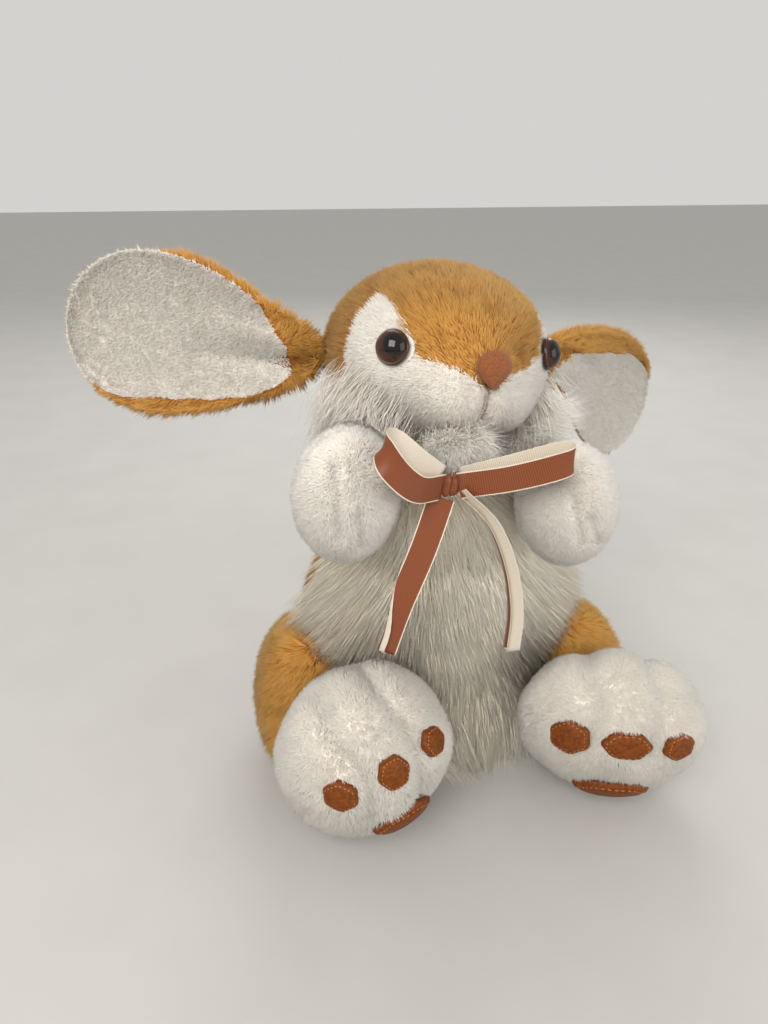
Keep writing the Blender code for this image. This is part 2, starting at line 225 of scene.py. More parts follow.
def closed_up(mesh):
    """Turns a bmesh's faces outwards and makes it a plain mesh."""
    bmesh.ops.recalc_face_normals(mesh, faces=mesh.faces[:])
    return as_mesh(mesh)


def as_mesh(mesh):
    """A plain mesh made from a bmesh, which is then freed."""
    made = bpy.data.meshes.new("made")
    mesh.to_mesh(made)
    mesh.free()
    return made


def corner_normals(points, faces):
    """An outward direction for each point of a closed triangle mesh."""
    a, b, c = points[faces[:, 0]], points[faces[:, 1]], points[faces[:, 2]]
    across = np.cross(b - a, c - a)
    total = np.zeros_like(points)
    for corner in range(3):
        np.add.at(total, faces[:, corner], across)
    return unit_rows(total)


class Skin:
    """A padded cloth skin: its points, its faces, and each point's unit direction on its form."""

    def __init__(self, form, depth, seam=None, shape=None, bend=None):
        """depth is how far the cloth lies under the tips of the pile; seam marks held points."""
        ball = bmesh.new()
        bmesh.ops.create_icosphere(ball, subdivisions=5, radius=1.0)
        units = unit_rows(np.array([vertex.co for vertex in ball.verts], float))
        faces = np.array([[corner.index for corner in face.verts] for face in ball.faces])
        ball.free()
        points = form.place(units, -depth - SWELL)
        held = np.zeros(len(units), bool) if seam is None else seam(units, points)
        points = swelled(points, faces, form.normal(units), held)
        self.points, self.units, self.faces = subdivided(points, units, faces)
        if shape is not None:
            lift = shape(self.units)[:, None]
            self.points = self.points + corner_normals(self.points, self.faces) * lift
        if bend is not None:
            self.points = bend(self.points, self.units)
        if form.floor is not None:
            self.points[:, 2] = np.maximum(self.points[:, 2], form.floor)
        self.normals = corner_normals(self.points, self.faces)

    def at(self, unit, lift):
        """The place on the shaped skin in a unit direction, moved out by lift."""
        nearness = np.exp((self.units @ unit_of(unit) - 1.0) * 2500.0)[:, None]
        point = np.sum(self.points * nearness, axis=0) / nearness.sum()
        return Vector(point + np.sum(self.normals * nearness, axis=0) / nearness.sum() * lift)

    def piece(self, name, material, body, replaces, keep=None):
        """Makes the shown cloth, or the part of it where keep is true."""
        faces = self.faces
        if keep is not None:
            faces = faces[keep(self.units, self.points)[faces].mean(axis=1) > 0.5]
        used, packed = np.unique(faces, return_inverse=True)
        mesh = mesh_of(self.points[used], packed.reshape(-1, 3))
        made = new_object(name, mesh, material, body)
        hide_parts(*replaces)
        return made


def swelled(points, faces, outward, held):
    """Runs a short cloth simulation under pressure, with the seam held, and caps the swelling."""
    scene = bpy.context.scene
    cloth_object = placed("swell", mesh_of(points, faces))
    group = cloth_object.vertex_groups.new(name="seam")
    group.add([int(index) for index in np.flatnonzero(held)], 1.0, "REPLACE")
    modifier = cloth_object.modifiers.new("swell", "CLOTH")
    settings = modifier.settings
    settings.quality = 4
    settings.mass = 0.2
    settings.tension_stiffness = 8.0
    settings.compression_stiffness = 8.0
    settings.bending_stiffness = 0.4
    settings.use_pressure = True
    settings.uniform_pressure_force = 4.0
    settings.effector_weights.gravity = 0.0
    settings.vertex_group_mass = "seam"
    modifier.collision_settings.use_collision = False
    modifier.point_cache.frame_start = 1
    modifier.point_cache.frame_end = SWELL_FRAMES
    for frame_number in range(1, SWELL_FRAMES + 1):
        scene.frame_set(frame_number)
    result = cloth_object.evaluated_get(bpy.context.evaluated_depsgraph_get()).data
    moved = np.empty(len(result.vertices) * 3, np.float32)
    result.vertices.foreach_get("co", moved)
    step = moved.reshape(-1, 3).astype(float) - points
    far = np.linalg.norm(step, axis=1, keepdims=True)
    step *= np.minimum(1.0, SWELL * 1.4 / np.maximum(far, 1e-9))
    bpy.data.objects.remove(cloth_object, do_unlink=True)
    scene.frame_set(1)
    return points + np.nan_to_num(step)


def subdivided(points, units, faces):
    """The same surface with one smooth subdivision, and its unit directions."""
    mesh = mesh_of(points, faces)
    layer = mesh.attributes.new("unit", "FLOAT_VECTOR", "POINT")
    layer.data.foreach_set("vector", units.astype(np.float32).ravel())
    coarse = placed("coarse", mesh)
    modifier = coarse.modifiers.new("finer", "SUBSURF")
    modifier.levels = 1
    fine = coarse.evaluated_get(bpy.context.evaluated_depsgraph_get()).to_mesh()
    fine.calc_loop_triangles()
    count = len(fine.vertices)
    made_points = np.empty(count * 3, np.float32)
    made_units = np.empty(count * 3, np.float32)
    made_faces = np.empty(len(fine.loop_triangles) * 3, np.int32)
    fine.vertices.foreach_get("co", made_points)
    fine.attributes["unit"].data.foreach_get("vector", made_units)
    fine.loop_triangles.foreach_get("vertices", made_faces)
    bpy.data.objects.remove(coarse, do_unlink=True)
    made_units = unit_rows(made_units.reshape(-1, 3).astype(float))
    return made_points.reshape(-1, 3).astype(float), made_units, made_faces.reshape(-1, 3)


# ---------------------------------------------------------------- pile and fur

def scattered(skin, count, density, rng):
    """Random roots on a skin: points, normals and unit directions."""
    a, b, c = (skin.points[skin.faces[:, corner]] for corner in range(3))
    area = np.linalg.norm(np.cross(b - a, c - a), axis=1)
    if density is not None:
        area = area * density(skin.units, skin.points)[skin.faces].mean(axis=1)
    chosen = rng.choice(len(area), size=count, p=area / area.sum())
    first, second = rng.random(count), rng.random(count)
    over = first + second > 1.0
    first[over], second[over] = 1.0 - first[over], 1.0 - second[over]
    weights = np.stack((1.0 - first - second, first, second), axis=1)[:, :, None]
    corners = skin.faces[chosen]
    found = [np.sum(layer[corners] * weights, axis=1)
             for layer in (skin.points, skin.normals, skin.units)]
    return found[0], unit_rows(found[1]), unit_rows(found[2])


def gathered(roots, tips, spacing, pull, rng):
    """Tips drawn together into tufts: each moves towards the tip of its nearest tuft's middle."""
    total = len(roots)
    span = roots.max(axis=0) - roots.min(axis=0)
    wanted = int(np.clip(1.6 * np.sum(span * np.roll(span, 1)) / spacing ** 2, 8, total))
    heads = rng.choice(total, size=wanted, replace=False)
    tree = KDTree(wanted)
    for index, head in enumerate(heads):
        tree.insert(roots[head], index)
    tree.balance()
    nearest = heads[np.array([tree.find(root)[1] for root in roots])]
    share = (pull * rng.uniform(0.5, 1.0, total))[:, None]
    return tips + (tips[nearest] - tips) * share, nearest


def grow(name, body, material, skin, count, length, width, comb, stand, density=None,
         tuft=3.0, pull=0.4, wild=0.15, rings=1, seed=1, guard=None):
    """Grows strands of pile on a skin and makes them one piece.

    length and width are in metres; length and stand may be functions of the place. comb gives the
    lie of the pile; stand is 1 for upright and 0 for flat; tuft is the spacing of tufts in
    millimetres and pull how closely they gather; wild is the random spread; rings is the number
    of stretches in a strand; guard moves points that would go astray.
    """
    rng = np.random.default_rng(seed)
    roots, normals, units = scattered(skin, count, density, rng)
    reach = length(units, roots) if callable(length) else np.full(count, length)
    reach = reach * rng.uniform(0.75, 1.15, count)
    lie = comb(units, roots, normals)
    lie = lie - normals * np.sum(lie * normals, axis=1, keepdims=True)
    lie = unit_rows(lie)
    rise = stand(units, roots) if callable(stand) else np.full(count, stand)
    rise = rise[:, None]
    noise = rng.normal(size=(count, 3)) * wild
    start = unit_rows(normals * (rise + 0.25) + lie * (1.0 - rise) * 0.7 + noise * 0.5)
    finish = unit_rows(normals * rise + lie * (1.15 - rise) + noise)
    tips = roots + start * reach[:, None] * 0.4 + finish * reach[:, None] * 0.6
    tips, nearest = gathered(roots, tips, tuft * MM, pull, rng)
    middles = roots + start * reach[:, None] * 0.5
    tone = 0.5 + 0.16 * waves(roots, 22 * MM, seed + 50) + rng.normal(0.0, 0.07, count)
    tone += rng.normal(0.0, 0.10, count)[nearest]
    girth = width * rng.uniform(0.7, 1.2, count) * 0.5
    mesh = strand_mesh(roots - normals * PILE_SINK, middles, tips, girth, tone, rings, guard)
    return new_object(name, mesh, material, body)


def rest_of(share):
    """The part of a skin that another part leaves."""
    return lambda units, points: 1.0 - share(units, points)


def strand_mesh(roots, middles, tips, girth, tone, rings, guard):
    """Three-sided tapered strands along curves, with tone and root-to-tip in their UV layer."""
    count = len(roots)
    heading = unit_rows(tips - roots)
    helper = np.where(np.abs(heading[:, 2:3]) < 0.9, (0.0, 0.0, 1.0), (1.0, 0.0, 0.0))
    side = unit_rows(np.cross(heading, helper))
    other = np.cross(heading, side)
    layers = []
    for ring in range(rings):
        t = ring / rings
        centre = roots * (1 - t) ** 2 + middles * 2 * t * (1 - t) + tips * t ** 2
        if guard is not None and ring:
            centre = guard(centre)
        around = girth[:, None] * (1.0 - 0.55 * t)
        for corner in range(3):
            angle = math.tau * corner / 3
            layers.append(centre + (side * math.cos(angle) + other * math.sin(angle)) * around)
    layers.append(tips if guard is None else guard(tips))
    points = np.stack(layers, axis=1).reshape(-1, 3)
    pattern = []
    for ring in range(rings):
        low, high = ring * 3, ring * 3 + 3
        for corner in range(3):
            after = (corner + 1) % 3
            if ring == rings - 1:
                pattern.append((low + corner, low + after, high))
            else:
                pattern.append((low + corner, low + after, high + after))
                pattern.append((low + corner, high + after, high + corner))
    pattern = np.array(pattern)
    offsets = np.arange(count)[:, None, None] * (rings * 3 + 1)
    mesh = mesh_of(points, (pattern[None] + offsets).reshape(-1, 3))
    across = np.append(np.tile((-0.035, 0.0, 0.035), rings), 0.01)[pattern]
    along = np.append(np.repeat(np.arange(rings), 3) / rings, 1.0)[pattern]
    tone = np.clip(tone, 0.04, 0.96)[:, None, None]
    u = np.clip(tone + across[None], 0.002, 0.998)
    v = np.broadcast_to(np.clip(along[None], 0.004, 0.996), u.shape)
    layer = mesh.uv_layers.new(name=PILE_UV)
    layer.data.foreach_set("uv", np.stack((u, v), axis=-1).astype(np.float32).ravel())
    return mesh


# ---------------------------------------------------------------- materials

def blank(name, roughness, **constants):
    """A new material and its shader; constants are the shader's other plain inputs."""
    made = bpy.data.materials.new(name)
    made.use_nodes = True
    shader = made.node_tree.nodes["Principled BSDF"]
    shader.inputs["Roughness"].default_value = roughness
    for label, value in constants.items():
        shader.inputs[label.replace("_", " ")].default_value = value
    return made, made.node_tree, shader


def uv_layer(tree, name):
    """A node that reads a UV layer."""
    made = tree.nodes.new("ShaderNodeUVMap")
    made.uv_map = name
    return made


def ramp(tree, source, stops):
    """A colour ramp driven by a socket; stops are (place, colour)."""
    node = tree.nodes.new("ShaderNodeValToRGB")
    elements = node.color_ramp.elements
    while len(elements) < len(stops):
        elements.new(0.5)
    for element, (place, colour) in zip(elements, stops):
        element.position = place
        element.color = (*colour, 1.0)
    tree.links.new(source, node.inputs["Fac"])
    return node.outputs["Color"]


MIX_FACTOR, MIX_FIRST_COLOUR, MIX_SECOND_COLOUR = 0, 6, 7  # sockets of the mix node


def multiplied(tree, first, second):
    """The product of two colour sockets."""
    node = tree.nodes.new("ShaderNodeMix")
    node.data_type = "RGBA"
    node.blend_type = "MULTIPLY"
    node.inputs[MIX_FACTOR].default_value = 1.0
    tree.links.new(first, node.inputs[MIX_FIRST_COLOUR])
    tree.links.new(second, node.inputs[MIX_SECOND_COLOUR])
    return node.outputs[2]


def pile_material(name, root, middle, tip, dark):
    """Dyed pile: darker at the root and paler at the tip; dark tints the darkest strands."""
    made, tree, shader = blank(name, 0.75, Sheen_Weight=0.05, Sheen_Roughness=0.5,
                               Specular_IOR_Level=0.2)
    place = uv_layer(tree, PILE_UV)
    split = tree.nodes.new("ShaderNodeSeparateXYZ")
    tree.links.new(place.outputs["UV"], split.inputs[0])
    along = ramp(tree, split.outputs["Y"], [(0.0, root), (0.45, middle), (1.0, tip)])
    tone = ramp(tree, split.outputs["X"], [(0.0, dark), (0.5, (1.0, 1.0, 1.0))])
    tree.links.new(multiplied(tree, along, tone), shader.inputs["Base Color"])
    return made


def add_relief(tree, shader, texture, strength, depth):
    """Raises the surface by a texture's strength, as bump."""
    relief = tree.nodes.new("ShaderNodeBump")
    relief.inputs["Strength"].default_value = strength
    relief.inputs["Distance"].default_value = depth
    tree.links.new(texture.outputs["Fac"], relief.inputs["Height"])
    tree.links.new(relief.outputs["Normal"], shader.inputs["Normal"])


def grain_material(name, dark, light, size, roughness, bump=0.0, depth=0.3, **constants):
    """A mottled surface: two colours mixed by fine noise, with the same noise as its grain."""
    made, tree, shader = blank(name, roughness, **constants)
    noise = tree.nodes.new("ShaderNodeTexNoise")
    coordinates = tree.nodes.new("ShaderNodeTexCoord")
    tree.links.new(coordinates.outputs["Object"], noise.inputs["Vector"])
    noise.inputs["Scale"].default_value = 1.0 / size
    noise.inputs["Detail"].default_value = 6.0
    colour = ramp(tree, noise.outputs["Fac"], [(0.35, dark), (0.65, light)])
    tree.links.new(colour, shader.inputs["Base Color"])
    if bump:
        add_relief(tree, shader, noise, bump, depth * MM)
    return made


def cloth_material(name, dark, light):
    """The backing cloth that shows between the strands of pile."""
    return grain_material(name, dark, light, 1.5 * MM, 0.95, bump=0.5)


def satin_material(name, dark, light, roughness):
    """Satin with fine weft lines across its warp."""
    made, tree, shader = blank(name, roughness, Specular_IOR_Level=0.3)
    place = uv_layer(tree, "weave")
    lines = tree.nodes.new("ShaderNodeTexWave")
    lines.bands_direction = "Y"
    lines.inputs["Scale"].default_value = 45.0
    lines.inputs["Distortion"].default_value = 0.6
    lines.inputs["Detail"].default_value = 2.0
    tree.links.new(place.outputs["UV"], lines.inputs["Vector"])
    colour = ramp(tree, lines.outputs["Fac"], [(0.0, dark), (1.0, light)])
    tree.links.new(colour, shader.inputs["Base Color"])
    add_relief(tree, shader, lines, 0.25, 0.1 * MM)
    return made


def eye_material():
    """Moulded plastic eye: a brown rim round a large black pupil, under clear gloss."""
    made, tree, shader = blank("eye_gloss", 0.05, Specular_IOR_Level=0.45)
    place = uv_layer(tree, "radial")
    split = tree.nodes.new("ShaderNodeSeparateXYZ")
    tree.links.new(place.outputs["UV"], split.inputs[0])
    colour = ramp(tree, split.outputs["X"], [
        (0.0, (0.002, 0.0015, 0.001)), (0.56, (0.003, 0.002, 0.0015)),
        (0.64, (0.030, 0.010, 0.004)), (0.90, (0.065, 0.022, 0.009)), (1.0, (0.03, 0.01, 0.005))])
    tree.links.new(colour, shader.inputs["Base Color"])
    return made


def finishes():
    """Every material of the scene, by a short name."""
    return {
        "tan_pile": pile_material("tan_pile", (0.37, 0.14, 0.020), (0.65, 0.315, 0.062),
                                  (0.80, 0.48, 0.145), (0.66, 0.57, 0.44)),
        "white_pile": pile_material("white_pile", (0.85, 0.79, 0.71), (0.91, 0.87, 0.805),
                                    (0.94, 0.905, 0.85), (0.93, 0.91, 0.88)),
        # white pile darkened by about an eighth: painted shade, for the feet and the ear linings
        "painted_shade_pile": pile_material("white_pile_painted_shade", (0.74, 0.68, 0.60),
                                     (0.79, 0.75, 0.685), (0.82, 0.785, 0.725),
                                     (0.93, 0.91, 0.88)),
        "long_fur": pile_material("long_fur", (0.96, 0.84, 0.64), (0.99, 0.92, 0.77),
                                  (0.99, 0.95, 0.85), (0.93, 0.86, 0.73)),
        "tan_cloth": cloth_material("tan_cloth", (0.20, 0.08, 0.02), (0.36, 0.16, 0.05)),
        "white_cloth": cloth_material("white_cloth", (0.72, 0.68, 0.63), (0.84, 0.81, 0.77)),
        "cream_cloth": cloth_material("cream_cloth", (0.84, 0.75, 0.58), (0.92, 0.84, 0.68)),
        "leather": grain_material("leatherette", (0.115, 0.027, 0.002), (0.205, 0.053, 0.005),
                                  1.6 * MM, 0.55, bump=0.6, depth=0.25,
                                  Specular_IOR_Level=0.2),
        "stitch": grain_material("pad_stitch", (0.42, 0.14, 0.025), (0.55, 0.21, 0.05),
                                 0.4 * MM, 0.7, bump=0.4),
        "suede": grain_material("nose_suede", (0.19, 0.057, 0.014), (0.28, 0.086, 0.024),
                                0.9 * MM, 0.9, bump=0.7, depth=0.3, Sheen_Weight=0.15),
        "thread": grain_material("mouth_thread", (0.50, 0.30, 0.24), (0.62, 0.42, 0.34),
                                 0.4 * MM, 0.8, bump=0.4),
        "satin": satin_material("satin_brown", (0.16, 0.043, 0.015), (0.25, 0.072, 0.028), 0.34),
        "reverse": satin_material("satin_reverse", (0.60, 0.52, 0.42), (0.74, 0.67, 0.57), 0.5),
        "eye": eye_material(),
        "washer": grain_material("washer_plastic", (0.72, 0.72, 0.70), (0.80, 0.80, 0.78),
                                 4 * MM, 0.45),
        "floor": grain_material("pale_floor", (0.50, 0.49, 0.47), (0.52, 0.51, 0.49),
                                60 * MM, 0.7),
    }


# ---------------------------------------------------------------- lie of the pile

def away_from(form, unit):
    """A comb that runs away from a point on a form, along its surface."""
    pole = form.world(np.array(unit) / np.linalg.norm(unit))

    def comb(units, points, normals):
        return -np.broadcast_to(pole, normals.shape)
    return comb


def towards(direction, fan=0.0):
    """A comb that runs one way, and may also fan out sideways from the rabbit's upright axis."""
    heading = np.array(direction, float)

    def comb(units, points, normals):
        side = points.copy()
        side[:, 2] = 0.0
        return heading + unit_rows(side) * fan
    return comb


# ---------------------------------------------------------------- torso, belly and tail

def build_torso(look):
    """The seat, back and shaggy belly, and the tail behind."""
    form = Form(TORSO, TORSO_TAPER, floor=FLOOR_GAP)

    def seam(units, points):
        return np.abs(points[:, 1] - BELLY_SEAM_Y) < 2.2 * MM

    def front(units, points):
        return (points[:, 1] < BELLY_SEAM_Y).astype(float)

    back = rest_of(front)

    def furred_back(units, points):
        return back(units, points) * ease(points[:, 2], 1.0 * MM, 5.0 * MM)

    def furred_front(units, points):
        shown = ease(points[:, 2], 8 * MM, 26 * MM) * ease(-points[:, 1], 0.0, 12 * MM)
        shown *= ease(-points[:, 2], -166 * MM, -160 * MM)
        return shown * (0.6 + 0.9 * ease(points[:, 2], 60 * MM, 130 * MM))

    def belly_comb(units, points, normals):
        side = ease(np.abs(points[:, 0]), 4 * MM, 50 * MM) * np.sign(points[:, 0])
        low = 1.0 - ease(points[:, 2], 30 * MM, 80 * MM)
        lie = np.zeros_like(points)
        lie[:, 0] = side * (0.95 - 0.60 * low) + 0.25 * waves(points, 46 * MM, 11)
        lie[:, 1] = -0.12 - 1.2 * low
        lie[:, 2] = -1.0
        return lie

    def belly_length(units, points):
        low = 1.0 - ease(points[:, 2], 25 * MM, 80 * MM)
        return (34.0 + 21.0 * low) * MM

    def belly_stand(units, points):
        return 0.26 + 0.22 * (1.0 - ease(points[:, 2], 25 * MM, 75 * MM))

    def clear(points):
        moved = form.pushed_out(points, 0.8 * MM)
        low = moved[:, 2] < 1.2 * MM
        moved[low, 2] = 1.2 * MM
        return moved

    def neck_and_hips(points, units):
        """Widens the top of the body into a short stout neck, and its sides into soft hips."""
        radius = np.sqrt(np.maximum(1.0 - units[:, 2] ** 2, 1e-6))
        share = ease(units[:, 2], 0.5, 0.9)
        wider = 1.0 + (radius ** -0.55 - 1.0) * share
        local = form.local(points) * np.stack((wider, wider, np.ones_like(wider)), axis=1)
        hips = np.exp(-((local[:, 2] - 6 * MM) / (36 * MM)) ** 2) * 11 * MM
        local[:, 0] += np.sign(units[:, 0]) * ease(np.abs(units[:, 0]), 0.3, 0.9) * hips
        return form.centre + form.world(local)

    skin = Skin(form, CLOTH_DEPTH["torso"] * MM, seam=seam, bend=neck_and_hips)
    skin.piece("torso_back_skin", look["tan_cloth"], "root",
               ["torso_back_cover", "torso_stuffing", "seat_pellet_bag"], back)
    skin.piece("belly_skin", look["cream_cloth"], "root", ["belly_panel"], front)
    grow("torso_back_pile", "root", look["tan_pile"], skin, 56000, 10 * MM,
         0.75 * MM, towards((0, 0, -1), fan=0.35), stand=0.40, density=furred_back, tuft=6,
         pull=0.3, seed=21, guard=clear)
    for index in (1, 2):
        grow("belly_fur_%d" % index, "root", look["long_fur"], skin, 20000,
             belly_length, 0.62 * MM, belly_comb, stand=belly_stand, density=furred_front,
             tuft=9 if index == 1 else 4, pull=0.5 if index == 1 else 0.3, wild=0.11, rings=2,
             seed=21 + index, guard=clear)
    tail_skin = Skin(Form(TAIL), CLOTH_DEPTH["tail"] * MM)
    tail_skin.piece("tail_skin", look["white_cloth"], "root", ["tail"])
    grow("tail_pile", "root", look["white_pile"], tail_skin, 3500, 8 * MM,
         0.6 * MM, towards((0, 0.6, -1)), stand=0.6, tuft=5, rings=2, seed=23)


# ---------------------------------------------------------------- head

def face_white(units, points):
    """1 where the head is white: cheeks, round the eyes, muzzle and throat."""
    side = np.abs(units[:, 0])
    wobble = 0.02 * waves(units, 0.4, 31)
    border = np.interp(side, (0.0, 0.14, 0.42, 0.58, 0.62, 0.66, 0.70),
                       (-0.30, -0.09, 0.0, 0.09, 0.26, 0.52, 0.66))
    cheek = (units[:, 1] < -0.26 + wobble) & (units[:, 2] < border + wobble)
    throat = (units[:, 2] < -0.50 + wobble) & (units[:, 1] < 0.25)
    return (cheek | throat).astype(float)


def head_shape(units):
    """Muzzle lobes, the mouth's crease, cheeks and the hollows that the eyes sit in."""
    lift = 6.5 * mound(units, (-0.27, -0.86, -0.46), 0.30)
    lift += 6.5 * mound(units, (0.29, -0.84, -0.48), 0.30)
    lift += 1.6 * mound(units, (0.0, -0.97, 0.0), 0.25)
    lift -= 5.0 * valley(units, (0.0, -0.22), (0.0, -0.75), 0.055)
    for way in (-1, 1):
        lift -= 2.6 * mound(units, EYE_UNIT * (way, 1, 1), 0.17)
        lift += 1.5 * mound(units, (0.75 * way, -0.50, -0.35), 0.30)
        lift -= 1.0 * mound(units, (0.33 * way, -0.93, 0.20), 0.18)
    return lift * MM


def build_head(look):
    """The head: tan crown and cheeks, white face, eyes, nose, mouth, ruffs and chin tuft."""
    form = Form(HEAD)
    eyes = [unit_of(EYE_UNIT * (way, 1, 1)) for way in (-1, 1)]
    nose = unit_of(NOSE_UNIT)

    def seam(units, points):
        return np.abs(units @ np.array((0, -0.86, -0.51)) - 0.07) < 0.03

    def open_face(units, points):
        """1 away from the eyes and nose, 0 where they cover the cloth."""
        clear = np.ones(len(units))
        for eye in eyes:
            clear *= np.linalg.norm((units - eye) * form.half, axis=1) > EYE_RADIUS * 0.97
        near_nose = (units - nose) * form.half / (np.array((7.0, 9.0, 7.5)) * MM)
        return clear * (np.linalg.norm(near_nose, axis=1) > 1.0)

    tan = rest_of(face_white)

    def crown_length(units, points):
        front = ease(-units[:, 1], 0.55, 0.95)
        return (7.2 - 3.2 * front) * MM

    skin = Skin(form, CLOTH_DEPTH["head"] * MM, seam=seam, shape=head_shape)
    skin.piece("head_skin", look["tan_cloth"], "head",
               ["head_crown_cover", "head_stuffing"], tan)
    skin.piece("face_skin", look["white_cloth"], "head",
               ["face_cover_right", "face_cover_left"], face_white)
    grow("head_pile", "head", look["tan_pile"], skin, 56000, crown_length,
         0.62 * MM, away_from(form, nose), stand=0.30, tuft=5.0, pull=0.3, wild=0.12, seed=31,
         density=lambda units, points: tan(units, points) * open_face(units, points))
    grow("face_pile", "head", look["white_pile"], skin, 52000, 3.6 * MM,
         0.55 * MM, away_from(form, nose), stand=0.62, tuft=2.2, pull=0.35, wild=0.25, seed=32,
         density=lambda units, points: face_white(units, points) * open_face(units, points))
    for side in ("right", "left"):
        build_eye(look, form, side)
        build_ruff(look, skin, side)
    build_nose(look, form)
    build_mouth(look, skin)
    build_chin(look, skin)


def build_ruff(look, skin, side):
    """Long wisps behind a cheek, under the root of the ear."""
    way = SIGN[side]

    def patch(units, points):
        low = mound(units, (0.84 * way, -0.08, -0.62), 0.26)
        return low + 0.5 * mound(units, (0.80 * way, -0.32, -0.52), 0.24)

    def comb(units, points, normals):
        lie = np.tile((0.55 * way, -0.30, -0.90), (len(points), 1))
        lie[:, 0] += 0.35 * waves(points, 16 * MM, 41)
        lie[:, 2] += 0.30 * waves(points, 16 * MM, 42)
        return lie

    def reach(units, points):
        return (35.0 + 8.0 * waves(points, 9 * MM, 43)) * MM

    def over_arm(points):
        return Form(ARMS[side]).pushed_out(points, 2 * MM)

    made = grow("cheek_ruff_fur_" + side, "head", look["white_pile"], skin, 7500,
                reach, 0.30 * MM, comb, stand=0.32, density=patch, tuft=5, pull=0.40, wild=0.22,
                rings=3, seed=41 + int(way), guard=over_arm)
    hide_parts("cheek_ruff_" + side)


def build_chin(look, skin):
    """A thin tuft under the muzzle."""
    def patch(units, points):
        return mound(units, (-0.12, -0.68, -0.73), 0.11)

    made = grow("chin_tuft_fur", "head", look["white_pile"], skin, 7000, 29 * MM,
                0.24 * MM, towards((-0.20, -1.0, -0.12)), stand=0.34,
                density=patch, tuft=5, pull=0.25, wild=0.25, rings=3, seed=45)
    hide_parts("chin_tuft")


def ring_of(mesh, count, radius, height, base, turn):
    """A ring of new vertices round an axis that turn stands up from base."""
    ring = []
    for index in range(count):
        angle = math.tau * index / count
        flat = Vector((radius * math.cos(angle), radius * math.sin(angle), height))
        ring.append(mesh.verts.new(base + turn @ flat))
    return ring


def join_rings(mesh, rings):
    """Faces from each ring of vertices to the next; a ring may be a single vertex."""
    count = max(len(ring) for ring in rings)
    for here, there in zip(rings, rings[1:]):
        for index in range(count):
            after = (index + 1) % count
            corners = [here[index % len(here)], there[index % len(there)],
                       there[after % len(there)], here[after % len(here)]]
            mesh.faces.new(list(dict.fromkeys(corners)))


def set_uv(mesh, name, shares):
    """A UV layer from each vertex's pair of shares."""
    layer = mesh.loops.layers.uv.new(name)
    for face in mesh.faces:
        for loop in face.loops:
            loop[layer].uv = shares[loop.vert]


def revolve(profile, base, axis, segments, gaze):
    """A surface turned about an axis; its radial UV layer holds the distance from the gaze."""
    mesh = bmesh.new()
    spin = Vector(axis).to_track_quat("Z", "Y").to_matrix()
    widest = max(radius for radius, _ in profile)
    heart = Vector(base) + Vector(axis) * 1.6 * MM
    rings, shares = [], {}
    for radius, height in profile:
        ring = ring_of(mesh, segments if radius else 1, radius, height, Vector(base), spin)
        for index, vertex in enumerate(ring):
            away = (vertex.co - heart) / widest
            aside = away.cross(Vector(gaze)).length if height > 2.0 * MM else 1.0
            shares[vertex] = (min(0.99, aside), index / len(ring))
        rings.append(ring)
    join_rings(mesh, rings)
    set_uv(mesh, "radial", shares)
    return closed_up(mesh)


def build_eye(look, form, side):
    """A domed plastic eye with a rolled rim."""
    unit = unit_of(EYE_UNIT * (SIGN[side], 1, 1))[None]
    out = form.normal(unit)[0]
    seat = form.place(unit, -EYE_SINK)[0]
    profile = [(0.0, 0.0), (EYE_RADIUS * 0.9, 0.0)]
    for step in range(7):
        angle = math.radians(-90 + 30 * step)
        profile.append((EYE_RADIUS * (0.95 + 0.05 * math.cos(angle)),
                        (1.5 + 0.7 * math.sin(angle)) * MM))
    for step in range(1, 16):
        angle = math.radians(90 * step / 15)
        profile.append((EYE_RADIUS * 0.93 * math.cos(angle), (2.1 + 5.6 * math.sin(angle)) * MM))
    profile[-1] = (0.0, 7.7 * MM)
    gaze = form.world(unit_of(GAZE * (SIGN[side], 1, 1)))
    made = new_object("eye_dome_" + side, revolve(profile, seat, out, 64, gaze), look["eye"],
                      "head")
    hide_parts("eye_" + side)


def disc(steps):
    """Rows of points of a square grid squeezed into a unit disc."""
    rows = []
    for row in range(steps + 1):
        v = 2.0 * row / steps - 1.0
        line = []
        for column in range(steps + 1):
            u = 2.0 * column / steps - 1.0
            line.append((u * math.sqrt(1.0 - v * v / 2.0), v * math.sqrt(1.0 - u * u / 2.0)))
        rows.append(line)
    return rows


def grid_mesh(front, back, uv_name=None):
    """Two grids of points, front and back, skinned with a rim; front faces come first."""
    mesh = bmesh.new()
    layers = [[[mesh.verts.new(point) for point in row] for row in grid] for grid in (front, back)]
    rows, columns = len(front), len(front[0])
    for layer in layers:
        for row in range(rows - 1):
            for column in range(columns - 1):
                face = mesh.faces.new((layer[row][column], layer[row][column + 1],
                                       layer[row + 1][column + 1], layer[row + 1][column]))
                face.material_index = 0 if layer is layers[0] else 1
    rim = [(0, column) for column in range(columns - 1)]
    rim += [(row, columns - 1) for row in range(rows - 1)]
    rim += [(rows - 1, column) for column in range(columns - 1, 0, -1)]
    rim += [(row, 0) for row in range(rows - 1, 0, -1)]
    for here, there in zip(rim, rim[1:] + rim[:1]):
        face = mesh.faces.new((layers[0][here[0]][here[1]], layers[0][there[0]][there[1]],
                               layers[1][there[0]][there[1]], layers[1][here[0]][here[1]]))
        face.material_index = 1
    if uv_name:
        set_uv(mesh, uv_name, {grid[row][column]: (column / (columns - 1), row / (rows - 1))
                               for grid in layers for row in range(rows)
                               for column in range(columns)})
    return closed_up(mesh)


def patch_frame(form, unit):
    """The unit direction of a patch's middle, with its across and upward directions and radius."""
    centre = Vector(unit).normalized()
    across = Vector((0, 0, 1)).cross(centre).normalized()
    upward = centre.cross(across)
    reach = np.linalg.norm(form.place(np.array(centre)[None])[0] - form.centre)
    return centre, across, upward, reach


